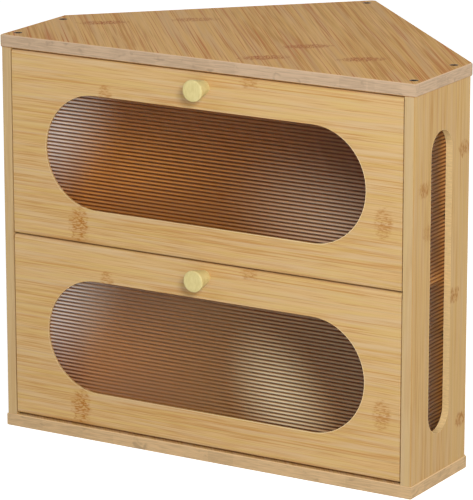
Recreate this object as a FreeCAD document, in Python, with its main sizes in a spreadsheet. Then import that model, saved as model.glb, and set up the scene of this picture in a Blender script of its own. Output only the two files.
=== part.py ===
import FreeCAD, Part

import os

import Sketcher
from FreeCAD import Placement, Rotation, Vector

# A two-tier corner bread box in bamboo. Its plan is a pentagon: a wide front, two short sides square
# to it, and two rear edges at 45 degrees that meet in the corner of a worktop. Each tier closes with a
# flap door that turns on two pins near its lower edge and carries a reeded clear pane and a knob.
#
# Frame: millimetres, X to the right, Y to the back, Z up. The origin is on the supporting face, on the
# centre line, half way between the front and the rear corner. Local frames have their Y zero on the
# front plane, which the boards, side panels and closed doors share.

SIZES = [
    # boards
    ("box_width", 438, "width of the top and bottom boards"),
    ("box_depth", 326.5, "front edge to the sharp rear corner of the boards"),
    ("box_height", 381, "supporting face to the top face"),
    ("board_thick", 12, "thickness of the top and bottom boards"),
    ("board_overhang", 1, "how far the boards stand past the walls, sides and rear"),
    ("corner_round", 5, "radius of the boards' rear corner"),
    ("edge_ease", 0.8, "small chamfer of exposed arrises"),
    # side panels
    ("side_thick", 18, "thickness of a side panel"),
    ("seat_width", 8, "width of the step in a side panel that takes a door's edge"),
    ("slot_front", 32.5, "front plane to the side window"),
    ("slot_rear", 34, "side window to the side panel's rear edge"),
    ("slot_foot", 37, "bottom board to the side window"),
    ("slot_head", 39, "side window to the top board"),
    ("side_lip", 6.4, "wood in front of a side pane"),
    # rear walls
    ("post_width", 22, "square rear post"),
    ("back_thick", 6, "thickness of a rear panel"),
    ("back_inset", 9, "boards' rear edge to a rear panel's outer face"),
    ("back_groove", 7, "depth of the post's grooves"),
    ("groove_start", 3, "boards' rear side corner to the floor of a side panel's groove"),
    ("groove_fit", 0.15, "play on each side of a rear panel in its grooves"),
    # shelf
    ("shelf_thick", 10, "thickness of the middle shelf"),
    ("shelf_drop", 6, "underside of the shelf below the gap between the doors"),
    ("shelf_fit", 0.25, "play of the shelf in its housings"),
    # doors
    ("door_thick", 10, "thickness of a door"),
    ("door_side_gap", 1.2, "gap beside a door"),
    ("door_top_gap", 1.4, "gap above the upper door"),
    ("door_mid_gap", 1.4, "gap between the doors"),
    ("door_floor_gap", 2.4, "gap below the lower door"),
    ("door_round", 3, "radius of a door's long edges"),
    ("window_length", 340, "length of a door window"),
    ("window_height", 109.2, "height of a door window"),
    ("window_drop", 0.8, "middle of a door window below the middle of the door"),
    ("door_lip", 2.4, "wood in front of a door pane"),
    # panes
    ("pane_rim", 8, "how far a pane's seat runs past its window"),
    ("pane_fit", 0.3, "play round a pane in its seat"),
    ("pane_thick", 3.1, "thickness of a pane over its reeds"),
    ("reed_pitch", 3.5, "distance from one reed to the next"),
    ("reed_height", 1.1, "height of a reed"),
    ("reed_crown", 1.3, "flat on the crown of a reed"),
    ("bead_width", 7, "width of the beads behind a door pane"),
    # hinge pins
    ("hinge_rise", 6, "hinge axis above a door's lower edge"),
    ("pin_dia", 4, "hinge pin"),
    ("pin_in_door", 12, "length of a pin in the door"),
    ("pin_in_side", 6, "length of a pin in the side panel"),
    ("pin_play", 0.08, "radial running clearance of a pin in the side panel"),
    ("sweep_clear", 0.6, "space left behind a door's lower edge as it turns"),
    # knobs
    ("knob_length", 20, "length of a knob"),
    ("knob_face_dia", 20.4, "largest diameter of a knob, behind its front rim"),
    ("knob_base_dia", 13.4, "diameter of a knob at the door"),
    ("knob_rim", 1, "bevel of a knob's front rim"),
    ("knob_offset", 2, "knob axis to the right of the centre line"),
    ("knob_drop", 12.9, "knob axis below a door's upper edge"),
    ("knob_screw_dia", 3.8, "screw that holds a knob"),
    ("knob_screw_grip", 12, "length of that screw in the knob"),
    ("knob_head_dia", 8, "head of that screw"),
    ("knob_head_thick", 2.2, "thickness of that head"),
    # screws through the boards
    ("screw_dia", 4, "board screw"),
    ("screw_head_dia", 8, "countersunk head of a board screw"),
    ("screw_length", 34, "length of a board screw"),
    ("screw_sink", 0.2, "head below the board's face"),
    ("screw_front", 14.5, "front plane to the front screws"),
    ("screw_rear", 17, "boards' rear side corner to the rear side screws"),
    ("screw_fit", 0.05, "radial play of a screw in its hole"),
    ("bore_spare", 0.6, "depth of a blind bore past its screw or pin"),
    # magnet catches
    ("catch_width", 16, "width of a catch block"),
    ("catch_depth", 12, "depth of a catch block"),
    ("catch_wall", 2, "wood below a magnet"),
    ("magnet_dia", 8, "catch magnet, which draws the head of the knob's screw"),
    ("magnet_length", 5, "length of a catch magnet"),
    ("magnet_gap", 0.3, "head of the knob's screw to the magnet, door closed"),
    ("magnet_proud", 0.5, "how far a magnet stands out of its block"),
    ("press_fit", 0.02, "radial play of a piece that is glued or pressed in"),
]


def named(name):
    """The cell of one size, as an expression."""
    return "Sizes." + name


def group(text):
    """An expression in brackets."""
    return "(" + text + ")"


# Places worked out from the sizes, as expressions.
ROOT2 = "sqrt(2)"
HALF_BOARD = "Sizes.box_width / 2"
FRONT = "-Sizes.box_depth / 2"
BOARD_SIDE = "(Sizes.box_depth - Sizes.box_width / 2)"
WALL_HEIGHT = "(Sizes.box_height - 2 * Sizes.board_thick)"
SIDE_OUT = "(Sizes.box_width / 2 - Sizes.board_overhang)"
SIDE_IN = group(SIDE_OUT + " - Sizes.side_thick")
SIDE_DEPTH = group(BOARD_SIDE + " - Sizes.board_overhang")
REAR_EDGE = group(HALF_BOARD + " * " + ROOT2)
SEAT_WALL = group(SIDE_IN + " + Sizes.seat_width")
DOOR_WIDTH = group("2 * " + SEAT_WALL + " - 2 * Sizes.door_side_gap")
DOOR_HEIGHT = (
    "((" + WALL_HEIGHT + " - Sizes.door_top_gap - Sizes.door_mid_gap - Sizes.door_floor_gap) / 2)"
)
LOWER_DOOR_Z = "(Sizes.board_thick + Sizes.door_floor_gap)"
GAP_Z = group(LOWER_DOOR_Z + " + " + DOOR_HEIGHT)
UPPER_DOOR_Z = group(GAP_Z + " + Sizes.door_mid_gap")
SHELF_Z = group(GAP_Z + " + Sizes.door_mid_gap / 2 - Sizes.shelf_drop")
WINDOW_Z = group(DOOR_HEIGHT + " / 2 - Sizes.window_drop")
KNOB_Z = group(DOOR_HEIGHT + " - Sizes.knob_drop")
# The rounded lower edge of a door turns inside this radius about the hinge axis.
SWEEP = (
    "(sqrt((Sizes.door_thick / 2 - Sizes.door_round) ^ 2 + (Sizes.hinge_rise - Sizes.door_round) ^ 2)"
    " + Sizes.door_round)"
)
INNER_FRONT = group("Sizes.door_thick / 2 + " + SWEEP + " + Sizes.sweep_clear")
SIDE_PANE_BACK = "(Sizes.side_thick - Sizes.side_lip - Sizes.pane_thick)"
HOUSING = group(SIDE_PANE_BACK + " - Sizes.shelf_fit")
BACK_FAR = "(Sizes.back_inset + Sizes.back_thick)"
POST_FAR = "(Sizes.board_overhang + Sizes.post_width)"
POST_MID = "(Sizes.board_overhang + Sizes.post_width / 2)"
SCREW_X = group(SIDE_OUT + " - Sizes.side_thick / 2")
SCREW_REAR_Y = group(BOARD_SIDE + " - Sizes.screw_rear")
CORNER_SCREW_Y = group("Sizes.box_depth - " + POST_MID + " * " + ROOT2)
SCREW_HOLE = "(Sizes.screw_dia + 2 * Sizes.screw_fit)"
PILOT_DEPTH = "(Sizes.screw_length + Sizes.screw_sink - Sizes.board_thick + Sizes.bore_spare)"
SLOT_WIDTH = group(SIDE_DEPTH + " - Sizes.slot_front - Sizes.slot_rear")
SLOT_LENGTH = group(WALL_HEIGHT + " - Sizes.slot_foot - Sizes.slot_head")
SLOT_Y = group("Sizes.slot_front + " + SLOT_WIDTH + " / 2")
SLOT_Z = group("Sizes.slot_foot + " + SLOT_LENGTH + " / 2")
MAGNET_FRONT = "(Sizes.door_thick + Sizes.knob_head_thick + Sizes.magnet_gap)"
CATCH_FRONT = group(MAGNET_FRONT + " + Sizes.magnet_proud")

doc = FreeCAD.newDocument("CornerBreadBox")
nodes = {}


def make_sheet():
    """Writes every driving dimension as a plain number with an alias."""
    sheet = doc.addObject("Spreadsheet::Sheet", "Sizes")
    for row, (name, value, meaning) in enumerate(SIZES, start=1):
        sheet.set("A%d" % row, str(value))
        sheet.setAlias("A%d" % row, name)
        sheet.set("B%d" % row, meaning)
    doc.recompute()
    return sheet


def value_of(expression):
    """The present number of an expression."""
    return float(sheet.evalExpression(expression.replace("Sizes.", "")))


def bind(thing, **expressions):
    """Binds properties to expressions; a double underscore in a name stands for a dot."""
    for name, expression in expressions.items():
        thing.setExpression(name.replace("__", "."), expression)


def place(thing, x="0", y="0", z="0", turn=Rotation()):
    """Turns a sub-part, and binds where its own origin goes."""
    thing.Placement = Placement(Vector(), turn)
    bind(thing, Placement__Base__x=x, Placement__Base__y=y, Placement__Base__z=z)


def keep(thing, label):
    """Names a finished sub-part, which is a file of its own."""
    thing.Label = label
    nodes[label] = thing
    return thing


# ---- sketches ----


def sketch_on(body, name, role, offset="0"):
    """A sketch on one of the body's own origin planes, moved along the plane's normal."""
    sketch = body.newObject("Sketcher::SketchObject", name)
    plane = next(item for item in body.Origin.OriginFeatures if item.Role == role)
    sketch.AttachmentSupport = [(plane, "")]
    sketch.MapMode = "FlatFace"
    bind(sketch, AttachmentOffset__Base__z=offset)
    return sketch


def lock(sketch, geometry, point, x, y):
    """Ties one point of the sketch to its origin by two bound distances."""
    for kind, expression in (("DistanceX", x), ("DistanceY", y)):
        index = sketch.addConstraint(
            Sketcher.Constraint(kind, -1, 1, geometry, point, value_of(expression))
        )
        bind(sketch, **{"Constraints[%d]" % index: expression})


def draw_polygon(sketch, corners):
    """A closed outline of straight lines through the corners."""
    points = [Vector(value_of(x), value_of(y), 0) for x, y in corners]
    first = sketch.GeometryCount
    for index, point in enumerate(points):
        sketch.addGeometry(Part.LineSegment(point, points[(index + 1) % len(points)]), False)
    for index in range(len(points)):
        following = first + (index + 1) % len(points)
        sketch.addConstraint(Sketcher.Constraint("Coincident", first + index, 2, following, 1))
    for index, (x, y) in enumerate(corners):
        lock(sketch, first + index, 1, x, y)


def draw_rectangle(sketch, low_x, low_y, high_x, high_y):
    """A rectangle between two opposite corners."""
    draw_polygon(sketch, [(low_x, low_y), (high_x, low_y), (high_x, high_y), (low_x, high_y)])


def draw_centred(sketch, x, y, width, height):
    """A rectangle about its centre."""
    half_width, half_height = group(width) + " / 2", group(height) + " / 2"
    draw_rectangle(sketch, group(x + " - " + half_width), group(y + " - " + half_height),
                   group(x + " + " + half_width), group(y + " + " + half_height))


def draw_circle(sketch, x, y, diameter):
    """A circle with its centre and diameter bound."""
    centre = Vector(value_of(x), value_of(y), 0)
    circle = sketch.addGeometry(Part.Circle(centre, Vector(0, 0, 1), value_of(diameter) / 2), False)
    lock(sketch, circle, 3, x, y)
    index = sketch.addConstraint(Sketcher.Constraint("Diameter", circle, value_of(diameter)))
    bind(sketch, **{"Constraints[%d]" % index: diameter})


def draw_stadium(sketch, x, y, width, height):
    """A stadium about a centre, its round ends on the shorter sides."""
    wide = value_of(width) > value_of(height)
    long_side, short_side = (width, height) if wide else (height, width)
    reach = group(group(long_side) + " / 2 - " + group(short_side) + " / 2")
    radius = value_of(short_side) / 2
    far, near = value_of(reach), -value_of(reach)
    middle = Vector(value_of(x), value_of(y), 0)
    along, across = (Vector(1, 0, 0), Vector(0, 1, 0)) if wide else (Vector(0, 1, 0), Vector(-1, 0, 0))
    start = 0 if wide else 90
    first = sketch.GeometryCount
    for end, angle in ((far, start - 90), (near, start + 90)):
        circle = Part.Circle(middle + along * end, Vector(0, 0, 1), radius)
        low = FreeCAD.Units.Quantity("%g deg" % angle).getValueAs("rad").Value
        high = FreeCAD.Units.Quantity("%g deg" % (angle + 180)).getValueAs("rad").Value
        sketch.addGeometry(Part.ArcOfCircle(circle, low, high), False)
    corner = [middle + along * a + across * b for a, b in
              ((far, radius), (near, radius), (near, -radius), (far, -radius))]
    sketch.addGeometry(Part.LineSegment(corner[0], corner[1]), False)
    sketch.addGeometry(Part.LineSegment(corner[2], corner[3]), False)
    for pair in ((0, 2, 2, 1), (2, 2, 1, 1), (1, 2, 3, 1), (3, 2, 0, 1)):
        one, one_end, other, other_end = pair
        sketch.addConstraint(
            Sketcher.Constraint("Tangent", first + one, one_end, first + other, other_end)
        )
    ends = (group(x + " + " + reach), group(x + " - " + reach)) if wide else (
        group(y + " + " + reach), group(y + " - " + reach))
    for index, end in enumerate(ends):
        lock(sketch, first + index, 3, end if wide else x, y if wide else end)
    index = sketch.addConstraint(Sketcher.Constraint("Radius", first, radius))
    bind(sketch, **{"Constraints[%d]" % index: group(short_side) + " / 2"})
    sketch.addConstraint(Sketcher.Constraint("Equal", first, first + 1))


# ---- features ----


def new_body(name):
    """An empty body."""
    return doc.addObject("PartDesign::Body", name)


def pad(body, sketch, length, backwards=False):
    """Pads a sketch by a bound length."""
    feature = body.newObject("PartDesign::Pad", sketch.Name + "Pad")
    feature.Profile = sketch
    feature.Reversed = backwards
    bind(feature, Length=length)
    doc.recompute()
    return feature


def pocket(body, sketch, depth=None, backwards=False, both_ways=False):
    """Cuts a sketch to a bound depth, or through everything, and makes sure that it cut."""
    before = body.Tip.Shape.Volume
    feature = body.newObject("PartDesign::Pocket", sketch.Name + "Cut")
    feature.Profile = sketch
    feature.Reversed = backwards
    feature.Midplane = both_ways
    if depth is None:
        feature.Type = "ThroughAll"
    else:
        bind(feature, Length=depth)
    doc.recompute()
    if not feature.Shape.Volume < before - 0.01:
        raise RuntimeError(feature.Name + " cuts nothing")
    return feature


def edges_where(shape, wanted):
    """The names of the edges whose box passes a test."""
    return ["Edge%d" % index for index, edge in enumerate(shape.Edges, start=1)
            if wanted(edge.BoundBox)]


def round_edges(body, radius, wanted):
    """Rounds the edges of the body's tip that pass a test."""
    base = body.Tip
    feature = body.newObject("PartDesign::Fillet", body.Name + "Round")
    feature.Base = (base, edges_where(base.Shape, wanted))
    bind(feature, Radius=radius)
    doc.recompute()
    return feature


def break_edges(body, size, wanted):
    """Chamfers the edges of the body's tip that pass a test."""
    base = body.Tip
    feature = body.newObject("PartDesign::Chamfer", body.Name + "Bevel")
    feature.Base = (base, edges_where(base.Shape, wanted))
    bind(feature, Size=size)
    doc.recompute()
    return feature


def near(one, other):
    """Whether two places are the same to a hundredth."""
    return abs(one - other) < 0.01


def countersunk_holes(body, sketch, backwards):
    """Screw holes with a 90 degree countersink on the sketch's side."""
    doc.recompute()
    before = body.Tip.Shape.Volume
    feature = body.newObject("PartDesign::Hole", sketch.Name + "Hole")
    feature.Profile = sketch
    feature.Reversed = backwards
    feature.DepthType = "ThroughAll"
    feature.HoleCutType = "Countersink"
    feature.HoleCutCustomValues = True
    feature.HoleCutCountersinkAngle = 90
    bind(feature, Diameter=SCREW_HOLE)
    bind(feature, HoleCutDiameter="Sizes.screw_head_dia + 2 * Sizes.screw_fit + 2 * Sizes.screw_sink")
    doc.recompute()
    if not feature.Shape.Volume < before - 0.01:
        raise RuntimeError(feature.Name + " drills nothing")
    return feature


def turned(name, steps):
    """A turned piece along Z: steps of (radius below, radius above, low, high), joined."""
    pieces = []
    for index, (below, above, low, high) in enumerate(steps):
        kind = "Part::Cylinder" if below == above else "Part::Cone"
        piece = doc.addObject(kind, "%sStep%d" % (name, index))
        if below == above:
            bind(piece, Radius=below)
        else:
            bind(piece, Radius1=below, Radius2=above)
        bind(piece, Height=group(high) + " - " + group(low), Placement__Base__z=low)
        pieces.append(piece)
    if len(pieces) == 1:
        return pieces[0]
    joined = doc.addObject("Part::MultiFuse", name)
    joined.Shapes = pieces
    return joined


def collect(label, pieces):
    """Several like pieces as one sub-part of separate solids."""
    compound = doc.addObject("Part::Compound", label)
    compound.Links = pieces
    return keep(compound, label)


def mirror(source, label):
    """The left-hand twin of a right-hand sub-part."""
    twin = doc.addObject("Part::Mirroring", label)
    twin.Source = source
    twin.Base = Vector(0, 0, 0)
    twin.Normal = Vector(1, 0, 0)
    return keep(twin, label)


# ---- boards ----


def make_board(label, level, screws_on_top):
    """A pentagon board with five countersunk screw holes and eased edges."""
    body = new_body(label)
    outline = sketch_on(body, label + "Outline", "XY_Plane")
    draw_polygon(outline, [
        ("-" + HALF_BOARD, "0"),
        (HALF_BOARD, "0"),
        (HALF_BOARD, BOARD_SIDE),
        ("0", named("box_depth")),
        ("-" + HALF_BOARD, BOARD_SIDE),
    ])
    pad(body, outline, named("board_thick"))
    depth = value_of(named("box_depth"))
    thick = value_of(named("board_thick"))
    round_edges(body, named("corner_round"), lambda box: box.YMin > depth - 1 and box.ZLength > thick - 1)
    break_edges(body, named("edge_ease"), lambda box: box.ZLength < 0.01)
    holes = sketch_on(body, label + "Screws", "XY_Plane", named("board_thick") if screws_on_top else "0")
    for x, y in screw_places():
        draw_circle(holes, x, y, SCREW_HOLE)
    countersunk_holes(body, holes, not screws_on_top)
    place(body, "0", FRONT, level)
    return keep(body, label)


def screw_places():
    """Where the board screws go: two in each side panel and one in the rear post."""
    sides = [(sign + SCREW_X, y) for sign in ("-", "") for y in (named("screw_front"), SCREW_REAR_Y)]
    return sides + [("0", CORNER_SCREW_Y)]


def make_board_screws(label, level, turn):
    """The five countersunk screws of one board, heads just below its face."""
    shank = "Sizes.screw_dia / 2"
    head = "Sizes.screw_head_dia / 2"
    cone = "(Sizes.screw_head_dia / 2 - Sizes.screw_dia / 2)"
    screws = []
    for index, (x, y) in enumerate(screw_places()):
        screw = turned("%s%d" % (label, index), [
            (shank, head, "-" + cone, "0"),
            (shank, shank, "-Sizes.screw_length", "-" + cone),
        ])
        place(screw, x, FRONT + " + " + y, level, turn)
        screws.append(screw)
    return collect(label, screws)


# ---- walls ----


def make_side_panel():
    """The right side panel: door step, shelf housing, window, pane seat, groove and bores."""
    body = new_body("RightSide")
    outline = sketch_on(body, "SideOutline", "XY_Plane")
    draw_rectangle(outline, "0", "0", named("side_thick"), SIDE_DEPTH)
    pad(body, outline, WALL_HEIGHT)
    outer = value_of(named("side_thick"))
    break_edges(body, named("edge_ease"), lambda box: near(box.XMin, outer) and box.XLength < 0.01
                and box.YLength < 0.01)

    step = sketch_on(body, "DoorStep", "XY_Plane")
    draw_rectangle(step, "0", "0", named("seat_width"), INNER_FRONT)
    pocket(body, step, backwards=True)

    groove = sketch_on(body, "RearGroove", "XY_Plane")
    draw_polygon(groove, [rear_point(along, inward, "Sizes.side_thick + Sizes.board_overhang")
                          for along, inward in groove_corners()])
    pocket(body, groove, backwards=True)

    housing = sketch_on(body, "ShelfHousing", "YZ_Plane")
    draw_rectangle(housing, "0", group(SHELF_Z + " - Sizes.board_thick - Sizes.shelf_fit"),
                   group(SHELF_LINE + " - " + SIDE_IN + " + Sizes.shelf_fit"),
                   group(SHELF_Z + " - Sizes.board_thick + Sizes.shelf_thick + Sizes.shelf_fit"))
    pocket(body, housing, HOUSING, backwards=True)

    window = sketch_on(body, "SideWindow", "YZ_Plane")
    draw_stadium(window, SLOT_Y, SLOT_Z, SLOT_WIDTH, SLOT_LENGTH)
    pocket(body, window, backwards=True)

    seat = sketch_on(body, "SidePaneSeat", "YZ_Plane")
    draw_centred(seat, SLOT_Y, SLOT_Z, SLOT_WIDTH + " + 2 * Sizes.pane_rim",
                 SLOT_LENGTH + " + 2 * Sizes.pane_rim")
    pocket(body, seat, "Sizes.side_thick - Sizes.side_lip", backwards=True)

    pins = sketch_on(body, "PinBores", "YZ_Plane", named("seat_width"))
    for door_z in (LOWER_DOOR_Z, UPPER_DOOR_Z):
        draw_circle(pins, "Sizes.door_thick / 2",
                    group(door_z + " + Sizes.hinge_rise - Sizes.board_thick"),
                    "Sizes.pin_dia + 2 * Sizes.pin_play")
    pocket(body, pins, "Sizes.pin_in_side + Sizes.bore_spare", backwards=True)

    for name, level, upwards in (("SideLow", "0", True), ("SideHigh", WALL_HEIGHT, False)):
        pilots = sketch_on(body, name + "Pilots", "XY_Plane", level)
        for y in (named("screw_front"), SCREW_REAR_Y):
            draw_circle(pilots, "Sizes.side_thick / 2", y, SCREW_HOLE)
        pocket(body, pilots, PILOT_DEPTH, backwards=upwards)

    place(body, SIDE_IN, FRONT, named("board_thick"))
    return keep(body, "right_side_panel")


def rear_point(along, inward, corner_x):
    """A point from its run along a rear edge and its depth inward, about the boards' side corner."""
    x = group(corner_x + " - (" + along + " + " + inward + ") / " + ROOT2)
    y = group(BOARD_SIDE + " + (" + along + " - " + inward + ") / " + ROOT2)
    return x, y


def groove_corners():
    """The slanting groove for a rear panel, open past the end of the side panel."""
    near_side = "(Sizes.back_inset - Sizes.groove_fit)"
    far_side = group(BACK_FAR + " + Sizes.groove_fit")
    floor = named("groove_start")
    mouth = "(Sizes.groove_start + 2 * Sizes.side_thick)"
    return [(floor, near_side), (mouth, near_side), (mouth, far_side), (floor, far_side)]


# The shelf stops this far in front of a rear panel, and its side ends where that line meets it.
SHELF_LINE = group("Sizes.box_depth - (" + BACK_FAR + " + Sizes.shelf_fit) * " + ROOT2)
SHELF_HALF = group(SIDE_IN + " + " + HOUSING + " - Sizes.shelf_fit")
SHELF_SIDE_REAR = group(SHELF_LINE + " - " + SHELF_HALF)


def make_back_panel():
    """The right rear panel, a plain thin board between the side panel's and the post's grooves."""
    body = new_body("RightBack")
    outline = sketch_on(body, "BackOutline", "XY_Plane")
    draw_rectangle(outline, "Sizes.groove_start + Sizes.groove_fit", named("back_inset"),
                   REAR_EDGE + " - " + POST_FAR + " + Sizes.back_groove - Sizes.groove_fit", BACK_FAR)
    pad(body, outline, WALL_HEIGHT)
    place_on_rear_edge(body)
    return keep(body, "right_back_panel")


def place_on_rear_edge(body):
    """Puts a local frame on the boards' right rear edge: X along it, Y inward."""
    place(body, HALF_BOARD, FRONT + " + " + BOARD_SIDE, named("board_thick"),
          Rotation(Vector(0, 0, 1), 135))


def make_rear_post():
    """The square rear post, grooved for both rear panels and bored at both ends."""
    body = new_body("RearPost")
    near_x = group(REAR_EDGE + " - " + POST_FAR)
    far_x = group(REAR_EDGE + " - Sizes.board_overhang")
    outline = sketch_on(body, "PostOutline", "XY_Plane")
    draw_rectangle(outline, near_x, named("board_overhang"), far_x, POST_FAR)
    pad(body, outline, WALL_HEIGHT)
    corner_x = value_of(far_x)
    corner_y = value_of(named("board_overhang"))
    round_edges(body, named("door_round"), lambda box: near(box.XMin, corner_x)
                and near(box.YMax, corner_y) and box.ZLength > 1)

    low, high = "(Sizes.back_inset - Sizes.groove_fit)", group(BACK_FAR + " + Sizes.groove_fit")
    right = sketch_on(body, "PostRightGroove", "XY_Plane")
    draw_rectangle(right, near_x, low, near_x + " + Sizes.back_groove", high)
    pocket(body, right, backwards=True)
    left = sketch_on(body, "PostLeftGroove", "XY_Plane")
    draw_rectangle(left, REAR_EDGE + " - " + high, POST_FAR + " - Sizes.back_groove",
                   REAR_EDGE + " - " + low, POST_FAR)
    pocket(body, left, backwards=True)

    for name, level, upwards in (("PostLow", "0", True), ("PostHigh", WALL_HEIGHT, False)):
        pilot = sketch_on(body, name + "Pilot", "XY_Plane", level)
        draw_circle(pilot, REAR_EDGE + " - " + POST_MID, POST_MID, SCREW_HOLE)
        pocket(body, pilot, PILOT_DEPTH, backwards=upwards)
    place_on_rear_edge(body)
    return keep(body, "rear_post")


def make_shelf():
    """The middle shelf, held in the side panels' housings, its rear tip cut square at the post."""
    tip_y = group("Sizes.box_depth - " + POST_FAR + " * " + ROOT2 + " - Sizes.shelf_fit")
    tip_x = group(SHELF_LINE + " - " + tip_y)
    body = new_body("MiddleShelf")
    outline = sketch_on(body, "ShelfOutline", "XY_Plane")
    draw_polygon(outline, [
        ("-" + SHELF_HALF, INNER_FRONT),
        (SHELF_HALF, INNER_FRONT),
        (SHELF_HALF, SHELF_SIDE_REAR),
        (tip_x, tip_y),
        ("-" + tip_x, tip_y),
        ("-" + SHELF_HALF, SHELF_SIDE_REAR),
    ])
    pad(body, outline, named("shelf_thick"))
    front = value_of(INNER_FRONT)
    break_edges(body, named("edge_ease"), lambda box: near(box.YMax, front) and box.XLength > 1)
    place(body, "0", FRONT, SHELF_Z)
    return keep(body, "middle_shelf")


# ---- panes ----


def make_pane(label, width, height):
    """A reeded clear pane: a plate whose face is cut by a pattern of level grooves.

    In its own frame the reeds run along X, face the front and have their crowns at Y zero.
    """
    body = new_body(label)
    outline = sketch_on(body, label + "Outline", "XZ_Plane")
    draw_centred(outline, "0", "0", width, height)
    pad(body, outline, named("pane_thick"), backwards=True)

    count = "floor(" + group(height) + " / Sizes.reed_pitch)"
    lowest = group("-(" + count + " - 1) / 2 * Sizes.reed_pitch")
    groove = sketch_on(body, label + "Groove", "YZ_Plane")
    draw_groove(groove, lowest)
    cut = pocket(body, groove, both_ways=True)

    pattern = body.newObject("PartDesign::LinearPattern", label + "Reeds")
    pattern.Originals = [cut]
    pattern.Direction = (outline, ["V_Axis"])
    bind(pattern, Length="(" + count + " - 1) * Sizes.reed_pitch", Occurrences=count)
    body.Tip = pattern
    doc.recompute()
    if not pattern.Shape.Volume < cut.Shape.Volume - 1:
        raise RuntimeError(label + " has one groove")
    return body


def draw_groove(sketch, middle):
    """The space between two reeds: from crown to crown, with flanks that meet in a cusp."""
    mouth = "(Sizes.reed_pitch - Sizes.reed_crown) / 2"
    draw_polygon(sketch, [
        ("0", middle + " - " + mouth),
        (named("reed_height"), middle),
        ("0", middle + " + " + mouth),
    ])


def make_side_pane(label, x, turn):
    """A side window's pane, reeds level and facing out."""
    body = make_pane(label, SLOT_WIDTH + " + 2 * Sizes.pane_rim - 2 * Sizes.pane_fit",
                     SLOT_LENGTH + " + 2 * Sizes.pane_rim - 2 * Sizes.pane_fit")
    place(body, x, FRONT + " + " + SLOT_Y, "Sizes.board_thick + " + SLOT_Z, turn)
    return keep(body, label)


# ---- doors ----


def make_door(label, level):
    """A flap door: rounded board, window, pane seat, knob hole and pin bores."""
    body = new_body(label)
    outline = sketch_on(body, label + "Outline", "XZ_Plane")
    half = group(DOOR_WIDTH + " / 2")
    draw_rectangle(outline, "-" + half, "0", half, DOOR_HEIGHT)
    pad(body, outline, named("door_thick"), backwards=True)
    round_edges(body, named("door_round"), lambda box: box.XLength > 1
                and (near(box.ZMin, 0) or near(box.YMin, 0)))

    window = sketch_on(body, label + "Window", "XZ_Plane")
    draw_stadium(window, "0", WINDOW_Z, named("window_length"), named("window_height"))
    pocket(body, window)

    seat = sketch_on(body, label + "PaneSeat", "XZ_Plane", "-Sizes.door_thick")
    draw_centred(seat, "0", WINDOW_Z, "Sizes.window_length + 2 * Sizes.pane_rim",
                 "Sizes.window_height + 2 * Sizes.pane_rim")
    pocket(body, seat, "Sizes.door_thick - Sizes.door_lip", backwards=True)

    hole = sketch_on(body, label + "KnobHole", "XZ_Plane")
    draw_circle(hole, named("knob_offset"), KNOB_Z, "Sizes.knob_screw_dia + 4 * Sizes.screw_fit")
    pocket(body, hole)

    bore = sketch_on(body, label + "PinBore", "YZ_Plane", half)
    draw_circle(bore, "Sizes.door_thick / 2", named("hinge_rise"),
                "Sizes.pin_dia + 2 * Sizes.press_fit")
    cut = pocket(body, bore, named("pin_in_door"))
    twin = body.newObject("PartDesign::Mirrored", label + "PinBores")
    twin.Originals = [cut]
    twin.MirrorPlane = (outline, ["V_Axis"])
    body.Tip = twin
    doc.recompute()
    if not twin.Shape.Volume < cut.Shape.Volume - 1:
        raise RuntimeError(label + " has one pin bore")
    place(body, "0", FRONT, level)
    return keep(body, label)


def make_beads(label, level):
    """The four mitred strips behind a door pane, flush with the door's back."""
    pieces = []
    outer = {
        "along": group("Sizes.window_length / 2 + Sizes.pane_rim - Sizes.pane_fit"),
        "up": group("Sizes.window_height / 2 + Sizes.pane_rim - Sizes.pane_fit"),
    }
    inner = {side: group(reach + " - Sizes.bead_width") for side, reach in outer.items()}
    thick = "Sizes.door_thick - Sizes.door_lip - Sizes.pane_thick"
    for sign in ("-", ""):
        level_strip = [("-" + outer["along"], sign + outer["up"]), (outer["along"], sign + outer["up"]),
                       (inner["along"], sign + inner["up"]), ("-" + inner["along"], sign + inner["up"])]
        upright_strip = [(sign + outer["along"], "-" + outer["up"]), (sign + outer["along"], outer["up"]),
                         (sign + inner["along"], inner["up"]), (sign + inner["along"], "-" + inner["up"])]
        for corners in (level_strip, upright_strip):
            body = new_body("%s%d" % (label, len(pieces)))
            strip = sketch_on(body, body.Name + "Strip", "XZ_Plane")
            draw_polygon(strip, corners)
            pad(body, strip, thick, backwards=True)
            place(body, "0", FRONT + " + Sizes.door_lip + Sizes.pane_thick", level + " + " + WINDOW_Z)
            pieces.append(body)
    return collect(label, pieces)


def make_door_pane(label, level):
    """A door window's pane, reeds level and facing the front."""
    body = make_pane(label, "Sizes.window_length + 2 * Sizes.pane_rim - 2 * Sizes.pane_fit",
                     "Sizes.window_height + 2 * Sizes.pane_rim - 2 * Sizes.pane_fit")
    place(body, "0", FRONT + " + Sizes.door_lip", level + " + " + WINDOW_Z)
    return keep(body, label)


def make_knob(label, level):
    """A turned knob that widens to its face, bored for its screw."""
    body = new_body(label)
    profile = sketch_on(body, label + "Profile", "YZ_Plane")
    bore = "(Sizes.knob_screw_dia / 2 + Sizes.screw_fit)"
    depth = "-(Sizes.knob_screw_grip + Sizes.bore_spare)"
    draw_polygon(profile, [
        ("0", "Sizes.knob_base_dia / 2"),
        ("-(Sizes.knob_length - Sizes.knob_rim)", "Sizes.knob_face_dia / 2"),
        ("-Sizes.knob_length", "Sizes.knob_face_dia / 2 - Sizes.knob_rim"),
        ("-Sizes.knob_length", "0"),
        (depth, "0"),
        (depth, bore),
        ("0", bore),
    ])
    turn = body.newObject("PartDesign::Revolution", label + "Turning")
    turn.Profile = profile
    turn.ReferenceAxis = (profile, ["H_Axis"])
    turn.Angle = 360
    doc.recompute()
    place(body, named("knob_offset"), FRONT, level + " + " + KNOB_Z)
    return keep(body, label)


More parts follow.
